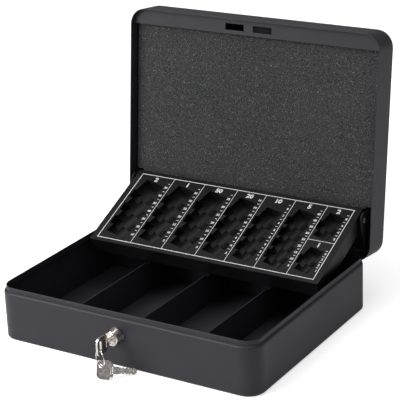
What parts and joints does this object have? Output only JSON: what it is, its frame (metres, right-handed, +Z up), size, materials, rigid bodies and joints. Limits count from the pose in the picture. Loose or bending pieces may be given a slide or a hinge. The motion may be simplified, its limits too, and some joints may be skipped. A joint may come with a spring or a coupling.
{
  "type": "cash box",
  "caption": "Steel cash box with a hinged lid, key lock, a coin tray that lifts with the lid, note compartments and a folding handle.",
  "frame": {"origin": "middle of the base's underside, on the table", "axes": "+Z up, +X to the right as seen from the lock's side, front with the lock towards -Y"},
  "size_m": [0.3, 0.3389, 0.2841],
  "materials": {
    "black_paint": "fine satin black powder coat",
    "black_plastic": "moulded black plastic with white print",
    "foam": "dark grey speckled foam",
    "nickel": "bright nickel plate",
    "zinc": "zinc-plated steel"
  },
  "bodies": {
    "base": {"base_shell": "black_paint", "divider_left": "black_paint", "divider_centre": "black_paint", "divider_right": "black_paint", "cross_plate": "black_paint", "lock_body": "nickel", "lock_nut": "zinc", "hinge_base_leaf_left": "zinc", "hinge_base_leaf_right": "zinc", "hinge_pin_left": "zinc", "hinge_pin_right": "zinc"},
    "lid": {"lid_shell": "black_paint", "latch_strip": "black_paint", "foam_pad": "foam", "hinge_lid_leaf_left": "zinc", "hinge_lid_leaf_right": "zinc", "tray_bracket_left": "black_paint", "tray_bracket_right": "black_paint", "tray_pin_left": "zinc", "tray_pin_right": "zinc", "handle_ear_left": "zinc", "handle_ear_right": "zinc", "handle_rivets": "zinc"},
    "tray": {"coin_tray": "black_plastic"},
    "handle": {"handle_bail": "zinc"},
    "plug": {"lock_plug": "nickel", "lock_hook": "zinc", "hook_screw": "zinc"},
    "key": {"key_in_lock": "nickel"},
    "ring": {"key_ring": "nickel"},
    "spare": {"spare_key": "nickel"}
  },
  "joints": [
    {"name": "lid_hinge", "type": "hinge", "parent": "base", "child": "lid", "pos_m": [0, 0.1175, 0.0484], "axis": [1, 0, 0], "range_deg": [0, 96.3]},
    {"name": "tray_pivot", "type": "hinge", "parent": "lid", "child": "tray", "pos_m": [0, 0.12603, 0.09102], "axis": [1, 0, 0], "range_deg": [-119.81, 0]},
    {"name": "handle_swing", "type": "hinge", "parent": "lid", "child": "handle", "pos_m": [0, 0.17579, 0.17728], "axis": [1, 0, 0], "range_deg": [-9, 170]},
    {"name": "plug_turn", "type": "hinge", "parent": "base", "child": "plug", "pos_m": [-0.005, -0.12, 0.0335], "axis": [0, -1, 0], "range_deg": [0, 90]},
    {"name": "key_pull", "type": "slide", "parent": "plug", "child": "key", "axis": [0, -1, 0], "range_m": [0, 0.02]},
    {"name": "ring_swing", "type": "hinge", "parent": "key", "child": "ring", "pos_m": [-0.005, -0.1487, 0.029], "axis": [0.4226, 0.9063, 0], "range_deg": [-22, 5]},
    {"name": "spare_swing", "type": "hinge", "parent": "ring", "child": "spare", "pos_m": [-0.005, -0.1487, 0.0132], "axis": [0.9063, -0.4226, 0], "range_deg": [0, 25]}
  ],
  "couplings": [
    {"joint": "tray_pivot", "follows": "lid_hinge", "ratio": -1.244}
  ]
}
